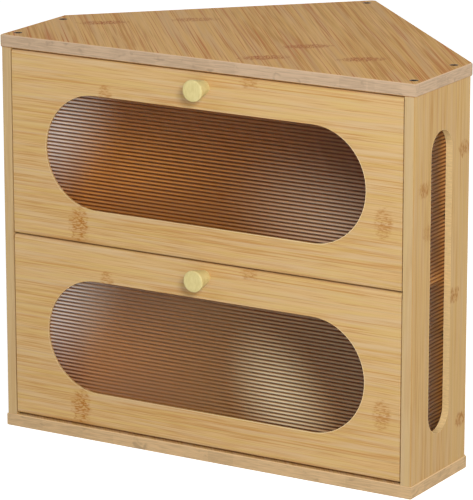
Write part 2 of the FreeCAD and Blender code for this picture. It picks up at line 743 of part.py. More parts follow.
def make_knob_screw(label, level):
    """The pan-head screw from the door's back into the knob."""
    shank = "Sizes.knob_screw_dia / 2"
    head = "Sizes.knob_head_dia / 2"
    screw = turned(label, [
        (head, head, "-Sizes.knob_head_thick", "0"),
        (shank, shank, "0", "Sizes.door_thick + Sizes.knob_screw_grip"),
    ])
    place(screw, named("knob_offset"), FRONT + " + Sizes.door_thick", level + " + " + KNOB_Z, TO_FRONT)
    return keep(screw, label)


def make_hinge_pins(label, level):
    """The two steel pins of a door, fast in the door and free in the side panels."""
    pins = []
    length = "Sizes.pin_in_door + Sizes.door_side_gap + Sizes.pin_in_side"
    inner = group(DOOR_WIDTH + " / 2 - Sizes.pin_in_door")
    for index, start in enumerate((inner, group("-" + inner + " - (" + length + ")"))):
        pin = turned("%s%d" % (label, index), [
            ("Sizes.pin_dia / 2", "Sizes.pin_dia / 2", "0", length),
        ])
        place(pin, start, FRONT + " + Sizes.door_thick / 2", level + " + Sizes.hinge_rise", TO_RIGHT)
        pins.append(pin)
    return collect(label, pins)


# ---- magnet catches ----


def make_catch(tier, hung_from, level):
    """A tier's catch block and its magnet, in line with the head of the knob's screw."""
    axis_z = group(level + " + " + KNOB_Z)
    radius = "(Sizes.magnet_dia / 2)"
    foot = group(axis_z + " - " + radius + " - Sizes.catch_wall")
    block = doc.addObject("Part::Box", tier + "CatchBox")
    bind(block, Length=named("catch_width"), Width=named("catch_depth"), Height=hung_from + " - " + foot)
    place(block, "Sizes.knob_offset - Sizes.catch_width / 2", FRONT + " + " + CATCH_FRONT, foot)
    seat = turned(tier + "CatchSeat", [
        (radius + " + Sizes.press_fit", radius + " + Sizes.press_fit", "0",
         "Sizes.magnet_length - Sizes.magnet_proud"),
    ])
    place(seat, named("knob_offset"), FRONT + " + " + CATCH_FRONT, axis_z, TO_BACK)
    bored = doc.addObject("Part::Cut", tier + "CatchBlock")
    bored.Base = block
    bored.Tool = seat
    keep(bored, tier + "_catch_block")
    magnet = turned(tier + "Magnet", [(radius, radius, "0", named("magnet_length"))])
    place(magnet, named("knob_offset"), FRONT + " + " + MAGNET_FRONT, axis_z, TO_BACK)
    keep(magnet, tier + "_catch_magnet")


# ---- assembly ----

TO_RIGHT = Rotation(Vector(0, 1, 0), 90)
TO_LEFT = Rotation(Vector(0, 1, 0), -90)
TO_BACK = Rotation(Vector(1, 0, 0), -90)
TO_FRONT = Rotation(Vector(1, 0, 0), 90)
UPSIDE_DOWN = Rotation(Vector(1, 0, 0), 180)
FACING_RIGHT = Rotation(Vector(0, 0, 1), 90)
FACING_LEFT = Rotation(Vector(0, 0, 1), -90)


def make_tier(tier, level, hung_from):
    """Everything that belongs to one tier's door."""
    make_door(tier + "_door", level)
    make_door_pane(tier + "_door_pane", level)
    make_beads(tier + "_pane_beads", level)
    make_knob(tier + "_knob", level)
    make_knob_screw(tier + "_knob_screw", level)
    make_hinge_pins(tier + "_hinge_pins", level)
    make_catch(tier, hung_from, level)


def check_all():
    """Stops if any object failed, or any sub-part is not sound solids."""
    doc.recompute()
    for item in doc.Objects:
        if "Invalid" in item.State or "Error" in item.State:
            raise RuntimeError("%s failed: %s" % (item.Name, item.State))
    for label, item in nodes.items():
        shape = item.Shape
        if shape.isNull() or not shape.isValid() or not shape.Solids:
            raise RuntimeError(label + " is not sound")


def write_parts():
    """Writes one STEP file for each sub-part."""
    os.makedirs("parts", exist_ok=True)
    for label, item in nodes.items():
        item.Shape.exportStep("parts/%s.step" % label)
        print("%-22s %2d solid(s) %10.1f mm3" % (label, len(item.Shape.Solids), item.Shape.Volume))


sheet = make_sheet()
make_board("bottom_board", "0", False)
make_board("top_board", "Sizes.box_height - Sizes.board_thick", True)
make_board_screws("bottom_screws", named("screw_sink"), UPSIDE_DOWN)
make_board_screws("top_screws", "Sizes.box_height - Sizes.screw_sink", Rotation())
mirror(make_side_panel(), "left_side_panel")
mirror(make_back_panel(), "left_back_panel")
make_rear_post()
make_shelf()
PANE_FACE_X = group(SIDE_OUT + " - Sizes.side_lip")
make_side_pane("right_side_pane", PANE_FACE_X, FACING_RIGHT)
make_side_pane("left_side_pane", "-" + PANE_FACE_X, FACING_LEFT)
make_tier("lower", LOWER_DOOR_Z, SHELF_Z)
make_tier("upper", UPPER_DOOR_Z, "(Sizes.box_height - Sizes.board_thick)")
check_all()
write_parts()
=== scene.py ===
"""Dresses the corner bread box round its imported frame: bamboo, reeded clear panes, turned knobs, screws.

Lengths are in millimetres from the front plane of the doors: x to the right, y to the rear and z up. at()
turns them into the frame's metres.
"""

import logging
import math
from dataclasses import dataclass
from enum import Enum
from typing import Any

import bmesh
import bpy
import numpy as np
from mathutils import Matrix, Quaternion, Vector


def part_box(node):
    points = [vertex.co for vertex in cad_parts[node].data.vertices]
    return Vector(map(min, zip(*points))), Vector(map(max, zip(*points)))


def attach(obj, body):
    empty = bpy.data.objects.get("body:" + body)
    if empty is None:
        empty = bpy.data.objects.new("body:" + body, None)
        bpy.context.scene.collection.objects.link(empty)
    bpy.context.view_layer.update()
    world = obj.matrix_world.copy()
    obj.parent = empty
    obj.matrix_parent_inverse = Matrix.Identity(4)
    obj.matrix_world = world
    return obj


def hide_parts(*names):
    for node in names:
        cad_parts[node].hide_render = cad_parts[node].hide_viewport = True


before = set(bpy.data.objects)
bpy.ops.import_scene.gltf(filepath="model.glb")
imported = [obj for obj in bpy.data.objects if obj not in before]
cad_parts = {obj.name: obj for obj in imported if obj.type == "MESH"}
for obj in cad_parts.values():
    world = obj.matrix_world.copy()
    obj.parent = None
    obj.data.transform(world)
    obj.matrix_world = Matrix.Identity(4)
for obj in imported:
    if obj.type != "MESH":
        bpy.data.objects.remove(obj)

MM = 0.001
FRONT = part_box("upper_door")[0].y
FRONT_MM = FRONT / MM
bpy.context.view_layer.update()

Colour = tuple[float, float, float]
Triple = tuple[float, float, float]
ACROSS_X: Triple = (1.0, 0.0, 0.0)
ACROSS_Y: Triple = (0.0, 1.0, 0.0)
ACROSS_Z: Triple = (0.0, 0.0, 1.0)
WHITE = (1.0, 1.0, 1.0, 1.0)
log = logging.getLogger("bread_box")

# Sizes of the box that several finishes and pieces share (mm).
BOX_HEIGHT = 381.0
BOARD_THICK = 12.0
PANEL_X = 218.0
SLOT_Y = 52.5
SLOT_Z = 189.5
REED_PITCH = 3.5

# Angle in degrees above which an edge of a made piece stays sharp.
CREASE = 35.0


def at(points: np.ndarray) -> np.ndarray:
    """Turns millimetres from the front plane into the frame's metres: scale by a thousandth, then shift y.

    Args:
        points: array whose last axis is x, y, z in millimetres.

    Returns:
        The same array in metres, in the shared frame.
    """
    return np.asarray(points, float) * MM + np.array([0.0, FRONT, 0.0])


def linear(colour: Colour) -> tuple[float, float, float, float]:
    """Turns screen values of 0 to 255 into the linear colour that a shader takes, by the sRGB curve.

    A share c of 255 becomes ((c + 0.055) / 1.055) ** 2.4 above 0.04045, and c / 12.92 below it.

    Args:
        colour: red, green and blue as a screen shows them.

    Returns:
        Linear red, green, blue and an alpha of one.
    """
    share = np.array(colour, float) / 255.0
    lit = np.where(share <= 0.04045, share / 12.92, ((share + 0.055) / 1.055) ** 2.4)
    return (float(lit[0]), float(lit[1]), float(lit[2]), 1.0)


def shade(colour: Colour, share: float) -> Colour:
    """Makes a colour darker or lighter by a share, up to white."""
    red, green, blue = (min(255.0, part * share) for part in colour)
    return (red, green, blue)


# ---------------------------------------------------------------- shader bench


class Level:
    """A number that varies over a surface. Arithmetic on it adds Math nodes to its bench's tree."""

    def __init__(self, bench: "Bench", socket: bpy.types.NodeSocket) -> None:
        """Wraps one socket of the bench's tree."""
        self.bench = bench
        self.socket = socket

    def _maths(self, operation: str, *inputs: "Level | float") -> "Level":
        """Adds one Math node and wraps its result.

        Args:
            operation: the Math node's operation.
            inputs: what goes into its sockets, in order.

        Returns:
            The node's value.
        """
        made = self.bench.node("ShaderNodeMath", {"operation": operation}, dict(enumerate(inputs)))
        return Level(self.bench, made.outputs[0])

    def __add__(self, other: "Level | float") -> "Level":
        """Adds."""
        return self._maths("ADD", self, other)

    __radd__ = __add__

    def __sub__(self, other: "Level | float") -> "Level":
        """Subtracts."""
        return self._maths("SUBTRACT", self, other)

    def __rsub__(self, other: "Level | float") -> "Level":
        """Subtracts this from a number."""
        return self._maths("SUBTRACT", other, self)

    def __mul__(self, other: "Level | float") -> "Level":
        """Multiplies."""
        return self._maths("MULTIPLY", self, other)

    __rmul__ = __mul__

    def __truediv__(self, other: "Level | float") -> "Level":
        """Divides."""
        return self._maths("DIVIDE", self, other)

    def __pow__(self, power: "Level | float") -> "Level":
        """Raises to a power."""
        return self._maths("POWER", self, power)

    def floor(self) -> "Level":
        """Rounds down."""
        return self._maths("FLOOR", self)

    def part(self) -> "Level":
        """Keeps the part after the point."""
        return self._maths("FRACT", self)

    def size(self) -> "Level":
        """Drops the sign."""
        return self._maths("ABSOLUTE", self)

    def root(self) -> "Level":
        """Takes the square root."""
        return self._maths("SQRT", self)

    def least(self, other: "Level | float") -> "Level":
        """Takes the smaller of two."""
        return self._maths("MINIMUM", self, other)

    def most(self, other: "Level | float") -> "Level":
        """Takes the larger of two."""
        return self._maths("MAXIMUM", self, other)

    def rise(self, low: float, high: float) -> "Level":
        """Climbs smoothly from 0 at low to 1 at high, or falls where low is above high.

        Args:
            low: where the result is 0.
            high: where the result is 1.

        Returns:
            A level from 0 to 1.
        """
        ends = (low, high, 0.0, 1.0) if low < high else (high, low, 1.0, 0.0)
        made = self.bench.node(
            "ShaderNodeMapRange",
            {"interpolation_type": "SMOOTHSTEP"},
            {"Value": self, "From Min": ends[0], "From Max": ends[1], "To Min": ends[2], "To Max": ends[3]},
        )
        return Level(self.bench, made.outputs["Result"])


class Bench:
    """The node tree of a material or of the world, being made, with a piece's own coordinates (mm)."""

    def __init__(self, holder: bpy.types.Material | bpy.types.World) -> None:
        """Empties the holder's node tree."""
        self.holder = holder
        holder.use_nodes = True
        self.tree = holder.node_tree
        self.tree.nodes.clear()

    def node(
        self, kind: str, settings: dict[str, Any] | None = None, sockets: dict[str | int, Any] | None = None
    ) -> bpy.types.Node:
        """Adds one node: its settings first, then the values or links of its sockets.

        Args:
            kind: the node's type.
            settings: properties of the node, such as an operation.
            sockets: socket name or number to a value, a Level or another node's socket.

        Returns:
            The node.
        """
        made = self.tree.nodes.new(kind)
        for name, value in (settings or {}).items():
            setattr(made, name, value)
        for name, value in (sockets or {}).items():
            source = value.socket if isinstance(value, Level) else value
            if isinstance(source, bpy.types.NodeSocket):
                self.tree.links.new(source, made.inputs[name])
            else:
                made.inputs[name].default_value = source
        return made

    def along(self, direction: Triple, start: float = 0.0) -> Level:
        """Measures a piece's points along a direction: their dot product with it, less start (mm).

        Args:
            direction: a unit vector.
            start: the distance that counts as zero.

        Returns:
            The distance along the direction.
        """
        place = self.node("ShaderNodeTexCoord").outputs["Object"]
        scaled = tuple(part / MM for part in direction)
        made = self.node("ShaderNodeVectorMath", {"operation": "DOT_PRODUCT"}, {0: place, 1: scaled})
        found = Level(self, made.outputs["Value"])
        return found - start if start else found

    def axes(self) -> tuple[Level, Level, Level]:
        """Gives x, y and z in the frame, in millimetres."""
        return self.along(ACROSS_X), self.along(ACROSS_Y), self.along(ACROSS_Z)

    def rays(self, *kinds: str) -> Level:
        """Gives 1 for rays of these kinds, such as Camera or Shadow, and 0 for all others."""
        path = self.node("ShaderNodeLightPath")
        found = Level(self, path.outputs[f"Is {kinds[0]} Ray"])
        for kind in kinds[1:]:
            found = found.most(Level(self, path.outputs[f"Is {kind} Ray"]))
        return found

    def noise(
        self, x: Level, y: Level, z: Level | float, detail: float = 2.0, distort: float = 0.0
    ) -> Level:
        """Reads smooth noise at a point whose coordinates are already scaled to the wanted grain.

        Args:
            x: first coordinate.
            y: second coordinate.
            z: third coordinate.
            detail: how many finer layers it has.
            distort: how far it is warped.

        Returns:
            A level near one half, from 0 to 1.
        """
        point = self.node("ShaderNodeCombineXYZ", {}, {0: x, 1: y, 2: z}).outputs[0]
        sockets = {"Vector": point, "Scale": 1.0, "Detail": detail, "Distortion": distort}
        made = self.node("ShaderNodeTexNoise", {}, sockets)
        return Level(self, made.outputs[0])

    def dice(self, number: Level, seed: float) -> Level:
        """Throws an even random number from 0 to 1 for each whole number, with a seed added to it."""
        point = {"W": number + (seed + 0.5)}
        made = self.node("ShaderNodeTexWhiteNoise", {"noise_dimensions": "1D"}, point)
        return Level(self, made.outputs["Value"])

    def blend(self, first: Any, second: Any, share: Level | float) -> bpy.types.NodeSocket:
        """Mixes two colours.

        Args:
            first: the colour at a share of 0, as screen values or a socket.
            second: the colour at a share of 1.
            share: how much of the second.

        Returns:
            The mixed colour.
        """
        sides = [linear(side) if isinstance(side, tuple) else side for side in (first, second)]
        made = self.node("ShaderNodeMix", {"data_type": "RGBA"}, {0: share, 6: sides[0], 7: sides[1]})
        return made.outputs[2]

    def bump(self, height: Level, distance: float, strength: float) -> bpy.types.NodeSocket:
        """Turns a height from 0 to 1 into a normal, where 1 stands that many millimetres proud."""
        made = self.node(
            "ShaderNodeBump", {}, {"Height": height, "Distance": distance * MM, "Strength": strength}
        )
        return made.outputs["Normal"]

    def surface(self, sockets: dict[str, Any]) -> bpy.types.NodeSocket:
        """Adds a Principled shader with these sockets set."""
        return self.node("ShaderNodeBsdfPrincipled", {}, sockets).outputs[0]

    def mixed(self, first: Any, second: Any, share: Level) -> bpy.types.NodeSocket:
        """Mixes two shaders by how much of the second there is."""
        return self.node("ShaderNodeMixShader", {}, {0: share, 1: first, 2: second}).outputs[0]

    def done(self, shader: bpy.types.NodeSocket) -> Any:
        """Sends a shader to the tree's output and gives the material or world."""
        kind = "World" if isinstance(self.holder, bpy.types.World) else "Material"
        self.node(f"ShaderNodeOutput{kind}", {}, {"Surface": shader})
        return self.holder


# ---------------------------------------------------------------- finishes


@dataclass(frozen=True)
class Stadium:
    """An opening with two straight sides and round ends: half the straight part, and the radius (mm)."""

    half_straight: float
    radius: float

    def gap(self, along: Level, aside: Level) -> Level:
        """Distance to the rim, unsigned: the length of (along past the straight, aside) less the radius."""
        beyond = (along.size() - self.half_straight).most(0.0)
        return ((beyond**2.0 + aside**2.0).root() - self.radius).size()


WINDOW = Stadium(115.4, 54.6)
SLOT = Stadium(120.5, 20.0)


@dataclass(frozen=True)
class Knuckle:
    """A joint of the cane: short flecks that cross the grain, within an oval of the board (mm).

    Attributes:
        run: its middle along the grain.
        cross: its middle across the grain.
        length: half its size along the grain.
        width: half its size across the grain.
        strength: how plain it is, from 0 to 1.
    """

    run: float
    cross: float
    length: float = 7.0
    width: float = 10.0
    strength: float = 1.0


class Trim(Enum):
    """Which part of a board is cut across the canes and looks unlike its faces."""

    PLAIN = "no such part"
    # A board's rim also gets a painted highlight along its upper arris.
    BOARD_RIM = "the rim of a flat board, in glued blocks"
    PANEL_EDGES = "the wall of a side panel's slot, and the panel's front edge"
    # Painted highlight: a paler colour on the chamfer round a door's window.
    WINDOW_ARRIS_HIGHLIGHT = "the chamfer round a door's window"


@dataclass(frozen=True)
class Bamboo:
    """Pressed bamboo: strips of cane side by side, fine fibres, darker streaks and knuckles.

    Attributes:
        name: the material's name.
        run: unit vector along the grain.
        cross: unit vector across the grain, in the face of the board.
        pale: colour of the lighter fibres.
        deep: colour of the darker fibres.
        streak: colour of the thin orange streaks.
        dry: greyish colour of the drier patches.
        sap: yellowish colour of other patches.
        origin: distance across the grain that counts as zero.
        strip: width of one strip of cane in millimetres.
        coarse: how much wider and longer than on a door the fibres are.
        streaks: how much of the board the broad streaks take, from 0 to 1.
        threads: strength of the thin dark fibres, from 0 to 1.
        seed: shifts every random part of the pattern.
        knuckles: the joints at known places.
        scatter: strength of further joints at random places.
        trim: which part is cut across the canes, or the window's chamfer, which gets a painted highlight.
        rim: its colour; on the window's chamfer, the colour of the painted highlight.
        front: colour of a side panel's front edge.
        arris: colour of that edge's outer arris.
        lift: lightening from one place to another, from 0 to 1; on the doors it is painted light, lighter
            towards the right.
        lift_run: unit vector from the first place to the second.
        lift_span: where they are along it.
    """

    name: str
    run: Triple
    cross: Triple
    pale: Colour = (222, 186, 134)
    deep: Colour = (196, 155, 98)
    streak: Colour = (186, 126, 62)
    dry: Colour = (214, 184, 142)
    sap: Colour = (214, 182, 112)
    origin: float = 0.0
    strip: float = 21.0
    coarse: float = 1.0
    streaks: float = 0.5
    threads: float = 0.35
    seed: float = 0.0
    knuckles: tuple[Knuckle, ...] = ()
    scatter: float = 0.0
    trim: Trim = Trim.PLAIN
    rim: Colour = (198, 170, 140)
    front: Colour = (208, 186, 146)
    arris: Colour = (180, 140, 84)
    lift: float = 0.0
    lift_run: Triple = ACROSS_X
    lift_span: tuple[float, float] = (-60.0, 210.0)

    def _strips(self, cross: Level) -> tuple[Level, Level]:
        """Numbers the strips of cane and finds how near a point is to a glue line between two.

        A strip's number is the distance across the grain over the strip's width, rounded down.

        Args:
            cross: distance across the grain in millimetres.

        Returns:
            The strip's number, and 1 on a glue line falling to 0 beside it.
        """
        count = cross / self.strip + 40.0
        line = ((count.part() - 0.5).size() * (2 * self.strip)).rise(self.strip - 0.9, self.strip)
        return count.floor(), line

    def _flecks(self, bench: Bench, run: Level, cross: Level) -> Level:
        """Finds short marks across the grain: noise fine along it and long across it, cut off high."""
        wave = bench.noise(run / 4.6, cross / 1.4, self.seed, detail=2.0, distort=0.7)
        return wave.rise(0.45, 0.58)

    def _joints(self, bench: Bench, run: Level, cross: Level, number: Level) -> Level:
        """Joins the ovals of the knuckles: each is 1 at its centre and falls to 0 at its ragged rim.

        Args:
            bench: the material being made.
            run: distance along the grain in millimetres.
            cross: distance across the grain in millimetres.
            number: the strip's number.

        Returns:
            How much of a knuckle a point is in, from 0 to 1.
        """
        found: Level | None = None
        ragged = (bench.noise(run / 7.0, cross / 3.5, self.seed + 2.0, detail=2.0) - 0.5) * 2.6
        for joint in self.knuckles:
            aside = (cross - joint.cross) / joint.width
            reach = ((run - joint.run) / joint.length) ** 2.0 + aside**2.0
            oval = (reach + ragged).rise(1.5, 0.3) * joint.strength
            found = oval if found is None else found.most(oval)
        if self.scatter:
            spacing = 300.0
            shift = bench.dice(number, self.seed + 11.0)
            present = bench.dice(number, self.seed + 13.0).rise(0.0, 0.6)
            near = ((run / spacing + shift).part() - 0.5).size() * spacing + ragged * 2.0
            band = near.rise(7.5, 2.0) * present * self.scatter
            found = band if found is None else found.most(band)
        return found if found is not None else run * 0.0

    def _window_arris_highlight(self, bench: Bench) -> tuple[Level, Any]:
        """Finds the chamfer round a door's window and paints a highlight on it: a paler colour, strongest
        below and to the right and none at the top.
        """
        x, y, z = bench.axes()
        up = z - self.origin
        # Painted highlight: strongest below and to the right, none at the top of the window.
        highlight_side = up.rise(53.5, 45.0) * (x.rise(-160.0, 60.0) * 0.6 + 0.4)
        chamfer = WINDOW.gap(x, up).rise(0.65, 0.2) * (y - FRONT_MM).rise(1.2, 0.8)
        return chamfer * highlight_side, self.rim

    def _board_rim_and_highlight(self, bench: Bench) -> tuple[Level, Any]:
        """Finds a board's rim, between the chamfers of its two faces, and paints a highlight along the
        arris above it.

        A block's number is the distance round the rim, x + 1.6 y, over the block's length, rounded down.

        Args:
            bench: the material being made.

        Returns:
            A mask from 0 to 1, and the colour there: sawn blocks with stains, and a painted highlight along
                the upper arris.
        """
        x, y, z = bench.axes()
        on_top = z.rise(200.0, 201.0)
        height = z - on_top * (BOX_HEIGHT - BOARD_THICK)
        mask = height.rise(0.35, 0.6) * height.rise(BOARD_THICK - 0.35, BOARD_THICK - 0.6)
        walk = x + y * 1.6
        stagger = bench.dice((walk / 90.0).floor(), self.seed + 5.0) * 14.0
        block = bench.dice(((walk + stagger) / 27.0).floor(), self.seed + 3.0)
        grain = bench.noise(walk / 20.0, height / 1.3, self.seed, detail=4.0)
        tone = (block * 0.12 + grain * 0.88).rise(0.34, 0.66)
        sawn = bench.blend(shade(self.rim, 0.93), shade(self.rim, 1.04), tone)
        stain = bench.noise(walk / 13.0, height / 9.0, self.seed + 1.0, detail=2.0, distort=0.6)
        sawn = bench.blend(sawn, shade(self.rim, 0.82), stain.rise(0.6, 0.74) * 0.7)
        # Painted highlight: a paler line along the upper arris of each board's rim.
        low, high = BOARD_THICK - 0.9, BOARD_THICK - 0.03
        arris = height.rise(low, low + 0.2) * height.rise(high, high - 0.12)
        return mask.most(arris), bench.blend(sawn, shade(self.rim, 1.1), arris)

    def _panel_edges(self, bench: Bench) -> tuple[Level, Any]:
        """Finds the wall of a side panel's slot, the panel's paler front edge and its darker outer arris.

        Args:
            bench: the material being made.

        Returns:
            A mask from 0 to 1 and the colour there.
        """
        x, y, z = bench.axes()
        back = y - FRONT_MM
        grain = bench.noise(x / 6.0, z / 0.8, y / 3.0, detail=3.0).rise(0.3, 0.7)
        wall = bench.blend(shade(self.rim, 0.93), self.rim, grain)
        mask = SLOT.gap(z - SLOT_Z, back - SLOT_Y).rise(0.3, 0.15)
        front = back.rise(1.1, 0.7)
        corner = front * x.size().rise(PANEL_X - 1.1, PANEL_X - 0.6)
        face = bench.blend(self.front, self.arris, corner)
        return mask.most(front * 0.4 + corner * 0.35), bench.blend(wall, face, front)

    def make(self) -> bpy.types.Material:
        """Builds the material.

        Fibres, streaks and broad patches are noises stretched along the grain. Each strip gets a random
        tone, and knuckles add orange flecks. Roughness and a fine bump follow the fibres.

        Returns:
            The finished material.
        """
        bench = Bench(bpy.data.materials.new(self.name))
        run = bench.along(self.run)
        cross = bench.along(self.cross, self.origin)
        through = np.cross(np.array(self.run), np.array(self.cross))
        depth = bench.along((float(through[0]), float(through[1]), float(through[2])))
        number, line = self._strips(cross)
        slid = (run + bench.dice(number, self.seed + 7.0) * 90.0) / self.coarse
        wander = bench.noise(run / 260.0, cross / 90.0, depth / 60.0 + self.seed, detail=1.0) * 2.0
        track = (cross + wander) / self.coarse
        fibre = bench.noise(slid / 38.0, track / 0.8, depth / 0.8 + self.seed, detail=1.5)
        vein = bench.noise(slid / 150.0, track / 1.5, depth / 6.0 + self.seed, detail=2.0)
        patch = bench.noise(run / 180.0, track / 8.0, depth / 16.0 + self.seed, detail=2.0)
        strip_tone = bench.dice(number, self.seed)
        tone = fibre * 0.46 + vein * 0.28 + patch * 0.14 + strip_tone * 0.12
        # Lightening from one place to another; on the doors it is painted light, lighter towards the right.
        if self.lift:
            tone = tone + bench.along(self.lift_run).rise(*self.lift_span) * self.lift
        wood = bench.blend(self.deep, self.pale, tone.rise(0.38, 0.6))
        dry = bench.noise(slid / 120.0, track / 5.0, depth / 9.0 + self.seed + 3.0, detail=2.0)
        wood = bench.blend(wood, self.dry, dry.rise(0.46, 0.62) * 0.6)
        sap = bench.noise(slid / 90.0, track / 3.2, depth / 9.0 + self.seed + 6.0, detail=2.0)
        wood = bench.blend(wood, self.sap, sap.rise(0.48, 0.62) * 0.5)
        lines = (vein * 0.6 + patch * 0.4).rise(0.44, 0.33) * self.streaks
        thread = bench.noise(slid / 120.0, track / 0.75, depth / 3.0 + self.seed, detail=1.0)
        wood = bench.blend(wood, self.streak, lines.most(thread.rise(0.56, 0.68) * self.threads))
        joints = self._joints(bench, run, cross, number)
        flecks = self._flecks(bench, run, cross) * joints
        wood = bench.blend(wood, shade(self.streak, 0.92), (flecks * 0.8 + joints * 0.22).least(1.0))
        wood = bench.blend(wood, shade(self.deep, 0.8), line * 0.25)
        height = fibre * 0.7 - flecks * 0.25 - line * 0.2
        rough = 0.46 + fibre * 0.16
        finders = {
            Trim.WINDOW_ARRIS_HIGHLIGHT: self._window_arris_highlight,
            Trim.BOARD_RIM: self._board_rim_and_highlight,
            Trim.PANEL_EDGES: self._panel_edges,
        }
        if self.trim in finders:
            mask, colour = finders[self.trim](bench)
            wood = bench.blend(wood, colour, mask)
            rough = rough + mask * 0.1
        sockets = {
            "Base Color": wood,
            "Roughness": rough,
            "Normal": bench.bump(height, 0.05, 0.5),
            "Specular IOR Level": 0.1,
        }
        return bench.done(bench.surface(sockets))


@dataclass(frozen=True)
class KnobWood:
    """Pale lemon-yellow wood of the turned knobs, with faint lines on the face and along the sides."""

    name: str = "knob_wood"
    pale: Colour = (224, 208, 146)
    deep: Colour = (212, 195, 131)

    def make(self) -> bpy.types.Material:
        """Builds the material: lines stretched along y that slant over the face, and a broad cloud."""
        bench = Bench(bpy.data.materials.new(self.name))
        x, y, z = bench.axes()
        lines = bench.noise(x / 1.1, z / 7.0, y / 26.0, detail=3.0, distort=0.4)
        cloud = bench.noise(x / 7.0, z / 7.0, y / 20.0, detail=1.0)
        tone = (lines * 0.6 + cloud * 0.4).rise(0.34, 0.62)
        sockets = {
            "Base Color": bench.blend(self.deep, self.pale, tone),
            "Roughness": 0.42 + lines * 0.2,
            "Normal": bench.bump(lines, 0.08, 0.5),
            "Specular IOR Level": 0.3,
        }
        return bench.done(bench.surface(sockets))


@dataclass(frozen=True)
class PaintedGlow:
    """A soft oval of painted glow on a pane: a pale layer that stands in for light seen in the pane (mm).

    Attributes:
        along: its middle along the pane's reeds.
        up: height of its middle above the pane's middle.
        half_along: half its size along the reeds.
        half_up: half its height.
        share: how much painted glow its middle has, from 0 to 1.
        lean: how far it leans along the reeds for each millimetre up.
    """

    along: float
    up: float
    half_along: float
    half_up: float
    share: float
    lean: float = 0.0


@dataclass(frozen=True)
class ReededAcrylic:
    """Clear acrylic with half-round reeds. It lets lamps through, has painted shade along its grooves and
    painted glow on its crowns.

    Attributes:
        name: the material's name.
        middle: height on which a reed is centred, in millimetres.
        run: unit vector along the reeds.
        painted_glows: pale ovals of painted glow that stand in for light seen in the pane.
        tint: colour of light that has crossed the pane at a crown.
        groove: the same along a groove, darker: painted shade.
        inner: colour of light that lamps send through to the inside.
        milk: share of haze everywhere.
        calm: how much fainter the painted shade and glow of the reeds are left of the middle, from 0 to 1.
        low_haze_and_glow: colour of the haze and painted glow at the low end of the reeds.
        high_haze_and_glow: the same at the high end.
        frost: roughness of the moulded faces.
    """

    name: str
    middle: float
    run: Triple = ACROSS_X
    painted_glows: tuple[PaintedGlow, ...] = ()
    tint: Colour = (253, 222, 150)
    groove: Colour = (120, 79, 56)
    inner: Colour = (254, 245, 230)
    milk: float = 0.02
    calm: float = 0.0
    low_haze_and_glow: Colour = (228, 223, 224)
    high_haze_and_glow: Colour = (240, 222, 206)
    frost: float = 0.27

    def _haze_and_painted_glow(self, along: Level, height: Level) -> Level | float:
        """Adds up the haze and the painted glow: each oval of glow falls smoothly from its share at the
        middle to none at its rim.

        Args:
            along: distance along the reeds in millimetres.
            height: height above the pane's middle in millimetres.

        Returns:
            The share of haze and painted glow, from 0 to 1.
        """
        found: Level | float = self.milk
        for bloom in self.painted_glows:
            up = height - bloom.up
            aside = (along - bloom.along - up * bloom.lean) / bloom.half_along
            reach = (aside**2.0 + (up / bloom.half_up) ** 2.0).root()
            found = reach.rise(1.0, 0.0) * bloom.share + found
        return found

    def make(self) -> bpy.types.Material:
        """Builds the material: hazy glass for sight, a tinted clear shader for lamps and bounced light.

        The groove mask is the distance from the middle of the nearest reed, as a share of half the pitch;
        it places the painted shade, and the crown mask places the painted glow.

        Returns:
            The finished material.
        """
        bench = Bench(bpy.data.materials.new(self.name))
        along = bench.along(self.run)
        height = bench.along(ACROSS_Z, self.middle)
        aside = ((height / REED_PITCH + 100.5).part() * 2.0 - 1.0).size()
        # Painted shade: a darker colour along the grooves; the crowns carry the painted glow.
        groove, crown = aside.rise(0.2, 0.8), aside.rise(0.75, 0.2)
        if self.calm:
            even = along.rise(70.0, -20.0) * along.rise(-150.0, -105.0) * self.calm
            groove = groove + (0.5 - groove) * even
            crown = crown + (0.5 - crown) * even
        cloud = bench.noise(*(axis / 30.0 for axis in bench.axes()), detail=1.0)
        glass = bench.surface(
            {
                "Base Color": bench.blend(self.tint, self.groove, groove),
                "Roughness": self.frost + cloud * 0.06,
                "IOR": 1.22,
                "Transmission Weight": 1.0,
            }
        )
        # Painted glow: a pale diffuse layer on the crowns, in ovals, that stands in for light seen in the
        # pane.
        haze = bench.blend(self.low_haze_and_glow, self.high_haze_and_glow, along.rise(-120.0, 40.0))
        white = bench.surface({"Base Color": haze, "Roughness": 0.5, "Specular IOR Level": 0.2})
        seen = bench.mixed(glass, white, self._haze_and_painted_glow(along, height) * crown)
        clear = bench.node("ShaderNodeBsdfTransparent", {}, {"Color": linear(self.inner)}).outputs[0]
        return bench.done(bench.mixed(seen, clear, bench.rays("Shadow", "Diffuse")))


@dataclass(frozen=True)
class Metal:
    """Plated or brushed steel with faint blotches and fine scratches."""

    name: str
    colour: Colour = (60, 44, 28)
    dull: Colour = (32, 23, 14)
    roughness: float = 0.5

    def make(self) -> bpy.types.Material:
        """Builds the material: cloudy colour, roughness that follows it, and a scratch bump."""
        bench = Bench(bpy.data.materials.new(self.name))
        x, y, z = bench.axes()
        cloud = bench.noise(x / 2.5, y / 2.5, z / 2.5, detail=3.0)
        scratch = bench.noise(x / 0.25, y / 0.9, z / 0.25, detail=2.0)
        sockets = {
            "Base Color": bench.blend(self.colour, self.dull, cloud.rise(0.35, 0.7)),
            "Metallic": 1.0,
            "Roughness": self.roughness + cloud * 0.14,
            "Normal": bench.bump(scratch, 0.02, 0.4),
        }
        return bench.done(bench.surface(sockets))


# ---------------------------------------------------------------- surfaces


def link(name: str, data: Any) -> bpy.types.Object:
    """Makes an object of a mesh, lamp or camera and puts it in the scene."""
    made = bpy.data.objects.new(name, data)
    bpy.context.scene.collection.objects.link(made)
    return made


